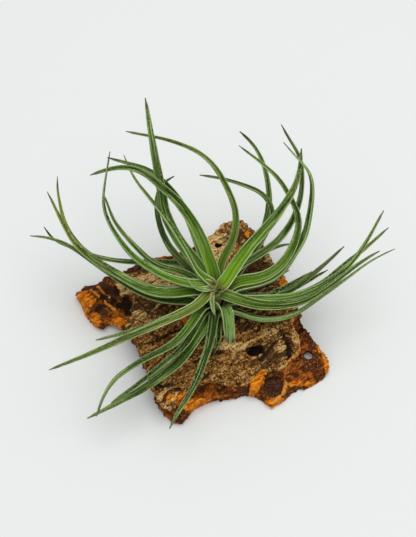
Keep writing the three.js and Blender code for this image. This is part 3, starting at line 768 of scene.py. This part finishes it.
def blade_stations(number, leaf):
    """The cross-sections of a leaf from its foot to its tip; their upright turns as little as it can."""
    rib, length, upright = leaf_rib(leaf)
    last = len(rib) - 1
    stations = []
    for i, at in enumerate(rib):
        distance = length * i / last
        along = distance / length
        tangent = (rib[min(i + 1, last)] - rib[max(i - 1, 0)]).normalized()
        upright = (upright - tangent * upright.dot(tangent)).normalized()
        roll = math.radians(leaf.roll) * smoothstep(along, 0, ROLL_SHARE)
        up = upright * math.cos(roll) + tangent.cross(upright) * math.sin(roll)
        half, curl = half_and_curl(leaf, distance, length)
        variation = noise.noise(Vector((number * WIDTH_STEP, distance * WIDTH_VARIATION_PACE, 0)))
        half *= 1 + WIDTH_VARIATION * variation
        stations.append(Station(distance, along, at, up, tangent.cross(up), half, curl))
    return stations


def yellow_share(tone, along):
    """How yellow a blade is at a place along it."""
    spot = 1 - smoothstep(abs(along - tone.spot), SPOT_CORE, SPOT_REACH) if tone.spot else 0
    return max(spot, tone.yellow * smoothstep(along, *YELLOWING))


def section_points(number, leaf, station):
    """The points of a cross-section, in the channel and then on the back, and what the material reads."""
    tone = leaf.tone
    sheath_fade = INNER_SHEATH_FADE if is_inner(leaf) else (SHEATH_RISE, SHEATH_END)
    shared = {
        "along": station.along,
        "sheath": 1 - smoothstep(station.distance, *sheath_fade),
        "yellow": yellow_share(tone, station.along),
        **{name: getattr(tone, name) for name in ("light", "glow", "olive", "dry", "silver")},
    }
    radius = station.half / station.curl
    rib_thickness = mix(RIB_THICKNESS, RIB_THICKNESS_AT_TIP, station.along)
    margin_thickness = min(MARGIN_THICKNESS, rib_thickness)
    for side in (1, 0):
        for k in range(COLUMNS + 1):
            u = -1 + 2 * k / COLUMNS
            wave = noise.noise(Vector((number * RUFFLE_STEP, station.distance * RUFFLE_PACE, u * 2)))
            angle = u * station.curl
            inward = station.up * math.cos(angle) - station.across * math.sin(angle)
            middle = station.rib + station.across * radius * math.sin(angle)
            middle += station.up * radius * (1 - math.cos(angle))
            thickness = mix(rib_thickness, margin_thickness, abs(u) ** THINNING)
            point = middle + inward * (thickness * (side - 0.5) + RUFFLE * u * u * wave)
            yield AXIS + point * MM, {
                "blade": (u * station.half, station.distance, number * STRIPE_STEP + side),
                "rim": (1 - abs(u)) * station.half,
                "upper": side,
                **shared,
            }


def blade_piece(name, number, leaf, material):
    """A closed strip along the rib, curled up on both sides of it."""
    stations = blade_stations(number, leaf)
    points = [point for station in stations for point in section_points(number, leaf, station)]
    piece = new_piece(name, [place for place, _ in points], strip_faces(len(stations)), material)
    write_attributes(piece, columns([values for _, values in points]))
    return piece


def strip_faces(stations):
    """Faces of a closed strip whose stations each have a row of points above and a row below."""
    row = COLUMNS + 1
    faces = []
    for i in range(stations - 1):
        a = i * 2 * row
        b = a + 2 * row
        for k in range(COLUMNS):
            faces.append((a + k, a + k + 1, b + k + 1, b + k))
            faces.append((a + row + k, b + row + k, b + row + k + 1, a + row + k + 1))
        faces.append((a, b, b + row, a + row))
        faces.append((a + COLUMNS, a + row + COLUMNS, b + row + COLUMNS, b + COLUMNS))
    end = (stations - 1) * 2 * row
    for k in range(COLUMNS):
        faces.append((k, row + k, row + k + 1, k + 1))
        faces.append((end + k, end + k + 1, end + row + k + 1, end + row + k))
    return faces


def new_piece(name, vertices, faces, material):
    mesh = bpy.data.meshes.new(name)
    mesh.from_pydata([tuple(v) for v in vertices], [], faces)
    return piece_of(name, mesh, material)


def piece_of(name, mesh, material):
    """An object with the mesh, smooth and of one material."""
    mesh.materials.clear()
    mesh.materials.append(material)
    mesh.shade_smooth()
    piece = bpy.data.objects.new(name, mesh)
    bpy.context.collection.objects.link(piece)
    return piece


def write_attributes(piece, values):
    """Point attributes: a name, and for each point a number or a triple."""
    for name, column in values.items():
        if isinstance(column[0], tuple):
            attribute = piece.data.attributes.new(name, "FLOAT_VECTOR", "POINT")
            attribute.data.foreach_set("vector", [c for triple in column for c in triple])
        else:
            attribute = piece.data.attributes.new(name, "FLOAT", "POINT")
            attribute.data.foreach_set("value", column)


# Bark. A place in it is given along the grain, across it and upwards.


def grain_coordinates(x, y):
    """Along and across the grain of a place in plan."""
    along = x * math.cos(GRAIN_TURN) + y * math.sin(GRAIN_TURN)
    across = y * math.cos(GRAIN_TURN) - x * math.sin(GRAIN_TURN)
    return along, across


def bark_layer(height, across):
    """0 on the inner cork's surface, 1 on the outer cork's."""
    arch = (across / ARCH_HALF_WIDTH) ** 2
    ledge = LEDGE_CREST_HEIGHT - LEDGE_DROP * arch
    crest = CREST_HEIGHT - ARCH_DROP * arch
    return (height - ledge) / (crest - ledge)


def distance_to_lines(x, y, lines):
    nearest = math.inf
    for line in lines:
        for (ax, ay), (bx, by) in zip(line, line[1:]):
            dx, dy = bx - ax, by - ay
            share = min(1, max(0, ((x - ax) * dx + (y - ay) * dy) / (dx * dx + dy * dy)))
            nearest = min(nearest, math.hypot(x - ax - share * dx, y - ay - share * dy))
    return nearest


def chunk_share(x, y, unevenness):
    """1 on the raised chunk, 0 off it."""
    dx, dy = x - CHUNK_AT[0], y - CHUNK_AT[1]
    along = (dx * math.cos(CHUNK_TURN) + dy * math.sin(CHUNK_TURN)) / CHUNK_HALF_LENGTH
    across = (dy * math.cos(CHUNK_TURN) - dx * math.sin(CHUNK_TURN)) / CHUNK_HALF_WIDTH
    return 1 - smoothstep(math.hypot(along, across) + CHUNK_UNEVENNESS * unevenness, *CHUNK_EDGE)


def patch_shares(x, y, unevenness):
    """How much each tone shows at a place in plan; the patches' edges are uneven."""
    shares = dict.fromkeys(PATCHES, 0.0)
    shares["orange"] = chunk_share(x, y, unevenness)
    for tone, patches in PATCHES.items():
        for middle, reach in patches:
            away = math.hypot((x - middle[0]) / reach[0], (y - middle[1]) / reach[1])
            share = 1 - smoothstep(away + PATCH_UNEVENNESS * unevenness, *PATCH_EDGE)
            shares[tone] = max(shares[tone], share)
    shares["red"] *= 1 - shares["orange"]
    shares["dark"] *= 1 - shares["orange"]
    return shares


def in_noise(place, pace, start=0):
    """A place in a noise that changes by the pace, from a start along the grain."""
    along, across, height = (c * p for c, p in zip(place, pace))
    return Vector((along + start, across, height))


def outer_relief(place):
    """Height of the outer cork's rows of granules and of its fissures."""
    granules = noise.fractal(Vector(place) * GRANULES_PACE, 0.7, 2.0, 2)
    rows = noise.fractal(in_noise(place, ROWS), 0.8, 2.0, 3)
    fissure = min(
        abs(noise.noise(in_noise(place, FISSURES))),
        abs(noise.noise(in_noise(place, CROSS_FISSURES, CROSS_START))) * CROSS_NARROWING,
    )
    cut = 1 - smoothstep(fissure, 0, FISSURE_WIDTH)
    return GRANULE_HEIGHT * granules + ROW_HEIGHT * rows - FISSURE_DEPTH * cut


def inner_relief(place):
    """Height of the torn inner cork's crags and fibres."""
    bent = noise.noise_vector(Vector(place) * BENDS_PACE)
    distances, middles = noise.voronoi(in_noise(place, CRAG_BLOCKS) + bent * CRAG_BEND)
    crevice = 1 - smoothstep(distances[1] - distances[0], *CREVICE_EDGE)
    level = noise.noise(middles[0] * CRAG_LEVELS)
    crags = noise.turbulence(in_noise(place, CRAGS), 3, True) - CRAG_MIDDLE
    fibres = noise.fractal(in_noise(place, TORN_FIBRES), 0.8, 2.0, 2)
    return CRAG_STEP * level + CRAG_HEIGHT * crags + FIBRE_HEIGHT * fibres - CREVICE_DEPTH * crevice


def bark_point(vertex):
    """Where a point of the bark's plain surface goes, and what the material reads there."""
    x, y, height = (vertex.co - AXIS) / MM
    along, across = grain_coordinates(x, y)
    grain = (along, across, height)
    unevenness = noise.fractal(Vector((x, y, height)) * UNEVENNESS_PACE, 0.7, 2.0, 3)
    fine = noise.noise(Vector((x, y, height)) * RAGGED_PACE)
    raggedness = RIDGE_UNEVENNESS * unevenness + RIDGE_RAGGEDNESS * fine
    facing = smoothstep(vertex.normal.z, *FACING)
    underside = smoothstep(-vertex.normal.z, *FACING_DOWN)
    chunk = chunk_share(x, y, unevenness)
    shares = patch_shares(x, y, unevenness)
    layer = bark_layer(height, across) + BREAK_UNEVENNESS * unevenness

    relief = mix(inner_relief(grain), outer_relief(grain), smoothstep(layer, *BREAK))
    relief = mix(relief, ORANGE_RELIEF * relief + ORANGE_RISE, shares["orange"])
    torn = distance_to_lines(x, y, TORN_EDGES) + raggedness
    raised = min(torn, distance_to_lines(x, y, CRESTS) + raggedness)
    relief += facing * RIDGE_HEIGHT * (1 - smoothstep(raised, *RIDGE_SIDE))
    crack = distance_to_lines(x, y, CRACKS) + CRACK_UNEVENNESS * unevenness
    relief -= facing * CRACK_DEPTH * (1 - smoothstep(crack, *CRACK_SIDE))
    from_hole = math.hypot(x - HOLE_AT[0], y - HOLE_AT[1]) - HOLE_RADIUS
    relief = mix(-HOLE_WIDENING, relief, smoothstep(from_hole, *HOLE_EDGE))

    moved = vertex.co + vertex.normal * relief * (1 - UNDERSIDE_SMOOTHING * underside) * MM
    chunk_top = AXIS.z + (CHUNK_TOP + CHUNK_RELIEF * relief) * MM
    moved.z = mix(moved.z, chunk_top, chunk * smoothstep(height, *CHUNK_FOOT))
    moved.z = max(moved.z, AXIS.z)
    return moved, {
        "grain": grain,
        "layer": mix(layer, 0, max(chunk, shares["orange"])),
        "relief": relief,
        "torn": facing * (1 - smoothstep(torn, *RIDGE_SIDE)),
        **shares,
    }


def evenly_meshed(source, name):
    """The source's mesh made again of even faces."""
    rough = bpy.data.objects.new("bark_remeshed", source.data.copy())
    bpy.context.collection.objects.link(rough)
    remesh = rough.modifiers.new("even_faces", "REMESH")
    remesh.mode = "VOXEL"
    remesh.voxel_size = BARK_VOXEL * MM
    depsgraph = bpy.context.evaluated_depsgraph_get()
    mesh = bpy.data.meshes.new_from_object(rough.evaluated_get(depsgraph))
    bpy.data.objects.remove(rough)
    mesh.name = name
    return mesh


def bark_piece(name, material):
    """The bark's surface with its relief. Its hole and pits stay, because its points only move."""
    mesh = evenly_meshed(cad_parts["cork_bark"], name)
    points = [bark_point(vertex) for vertex in mesh.vertices]
    for vertex, (place, _) in zip(mesh.vertices, points):
        vertex.co = place
    piece = piece_of(name, mesh, material)
    write_attributes(piece, columns([values for _, values in points]))
    return piece


# Bark material. Each point of the bark carries "grain" (its place along the grain, across it and
# upwards), "layer" (0 inner cork, 1 outer cork), "relief" (millimetres), "torn" (1 on a torn edge), and
# how much each tone of the patches shows.


def patch_mask(shader, tone, specks):
    """Where a tone shows, with the patch's edge broken up by the specks."""
    return shader.ramp(shader.total(shader.attribute(tone), shader.swing(specks, 1.2)), 0.3, 0.7)


def outer_cork(shader, specks, fibres, flecks, relief):
    """Brown granules, darker patches that are partly painted shadow, painted shade in the fissures, and tan
    where worn and on the crests.
    """
    cork = shader.mixed(shader.ramp(specks, 0.44, 0.54), *GRANULES)
    cork = shader.coated(cork, BROWN_FIBRES, shader.ramp(fibres, 0.5, 0.6))
    cork = shader.coated(cork, PALE_FLECKS, shader.ramp(flecks, 0.56, 0.62))
    cork = shader.coated(cork, DARK_CORK_AND_SHADOW, patch_mask(shader, "dark", specks))
    worn = shader.mixed(shader.ramp(specks, 0.43, 0.53), *WORN_CORK)
    worn_share = shader.product(patch_mask(shader, "tan", specks), shader.ramp(fibres, 0.34, 0.56))
    cork = shader.mixed(worn_share, cork, worn)
    crest = shader.total(relief, shader.product(specks, 1.5))
    cork = shader.coated(cork, WORN_CREST, shader.ramp(crest, 1.1, 1.5))
    return shader.coated(cork, FISSURE_SHADE, shader.inverse(shader.ramp(relief, -1.0, -0.3)))


def inner_cork(shader, grain, specks, fibres, flecks, relief):
    """Orange and red-brown where the outer cork has broken off, with painted shade in its hollows and on
    its dark patches.
    """
    clouds = shader.noise(grain, CLOUDS, 3.0, 0.6)
    clods = shader.stretched_noise(grain, CLODS, 3.0, 0.6)
    cork = shader.mixed(shader.ramp(clouds, 0.42, 0.55), *INNER_CORK)
    cork = shader.coated(cork, BROWN_CLODS, shader.ramp(clods, 0.48, 0.56))
    red = shader.mixed(shader.ramp(specks, 0.42, 0.56), *RED_CORK)
    cork = shader.mixed(patch_mask(shader, "red", specks), cork, red)
    orange = shader.mixed(shader.ramp(fibres, 0.42, 0.58), *ORANGE_CORK)
    orange = shader.coated(orange, CLODS_ON_ORANGE, shader.ramp(clods, 0.52, 0.58))
    cork = shader.mixed(patch_mask(shader, "orange", specks), cork, orange)
    cork = shader.coated(cork, BRIGHT_FLECKS, shader.ramp(flecks, 0.6, 0.66))
    cork = shader.coated(cork, HOLLOW_SHADE, shader.inverse(shader.ramp(relief, -1.6, -0.7)))
    shaded = shader.mixed(shader.ramp(specks, 0.46, 0.6), *SHADED_CORK)
    return shader.mixed(shader.product(patch_mask(shader, "dark", specks), SHADE_COVER), cork, shaded)


def bark_material():
    shader = Shader("cork_surface")
    grain = shader.attribute("grain", "Vector")
    relief = shader.attribute("relief")
    specks = shader.noise(grain, SPECKS, 4.0, 0.8)
    fibres = shader.stretched_noise(grain, FIBRES, 4.0, 0.7)
    flecks = shader.stretched_noise(grain, FLECKS, 2.0, 0.6)
    inner = inner_cork(shader, grain, specks, fibres, flecks, relief)
    outer = outer_cork(shader, specks, fibres, flecks, relief)
    level = shader.total(shader.attribute("layer"), shader.swing(specks, 0.3))
    cork = shader.mixed(shader.ramp(level, 0.45, 0.65), inner, outer)
    torn = shader.mixed(shader.ramp(specks, 0.42, 0.54), *TORN_CORK)
    cork = shader.mixed(shader.ramp(shader.attribute("torn"), 0.3, 0.8), cork, torn)
    return shader.finish({
        "Base Color": shader.coated(cork, PIT_SHADE, patch_mask(shader, "pit", specks)),
        "Normal": shader.bump(shader.total(specks, shader.product(fibres, 0.7)), 0.5),
        "Roughness": 0.9,
        "Specular IOR Level": 0.15,
    })


# Surroundings


def add_floor():
    shader = Shader("floor_surface")
    plain = shader.finish({"Base Color": FLOOR, "Roughness": 0.7, "Specular IOR Level": 0.2})
    sides = ((-1, -1), (1, -1), (1, 1), (-1, 1))
    corners = [(x * FLOOR_REACH, y * FLOOR_REACH, AXIS.z) for x, y in sides]
    new_piece("floor", corners, [(0, 1, 2, 3)], plain)


def add_lamp():
    lamp = bpy.data.lights.new("key", "AREA")
    lamp.size = LAMP_SIZE
    lamp.energy = LAMP_POWER
    light = bpy.data.objects.new("key", lamp)
    light.location = LAMP_PLACE
    light.rotation_euler = (LAMP_PLACE - LAMP_AIM).to_track_quat("Z", "Y").to_euler()
    bpy.context.collection.objects.link(light)


def add_daylight():
    world = bpy.data.worlds.new("studio")
    world.use_nodes = True
    background = world.node_tree.nodes["Background"]
    background.inputs["Color"].default_value = DAYLIGHT
    background.inputs["Strength"].default_value = DAYLIGHT_STRENGTH
    bpy.context.scene.world = world


def add_camera():
    toward = Vector((0, math.cos(CAMERA_ELEVATION), -math.sin(CAMERA_ELEVATION)))
    up = Vector((0, math.sin(CAMERA_ELEVATION), math.cos(CAMERA_ELEVATION)))
    right = Vector((1, 0, 0))
    heart = Vector((0, 0, HEART_HEIGHT))
    place = heart - toward * CAMERA_DISTANCE - right * HEART_OFFSET.x - up * HEART_OFFSET.y
    camera = bpy.data.objects.new("camera", bpy.data.cameras.new("camera"))
    camera.data.sensor_fit = "HORIZONTAL"
    camera.data.sensor_width = SENSOR_WIDTH
    camera.data.lens = SENSOR_WIDTH * FOCAL_PIXELS / PHOTO_WIDTH
    turned = Matrix((right, up, -toward)).transposed().to_4x4()
    camera.matrix_world = Matrix.Translation(AXIS + place * MM) @ turned
    bpy.context.collection.objects.link(camera)
    bpy.context.scene.camera = camera


bpy.context.scene.view_settings.view_transform = "Standard"
add_camera()
add_floor()
add_daylight()
add_lamp()

leaf_surface = leaf_material()
for number, leaf in enumerate(LEAVES, start=1):
    node = f"leaf_{number:02d}"
    piece = blade_piece(f"{node}_blade", number, leaf, leaf_surface)
    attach(piece, "root")
    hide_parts(node)

bark = bark_piece("cork_bark_surface", bark_material())
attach(bark, "root")
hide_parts("cork_bark")

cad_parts["stem"].material_slots[0].material = stem_material()
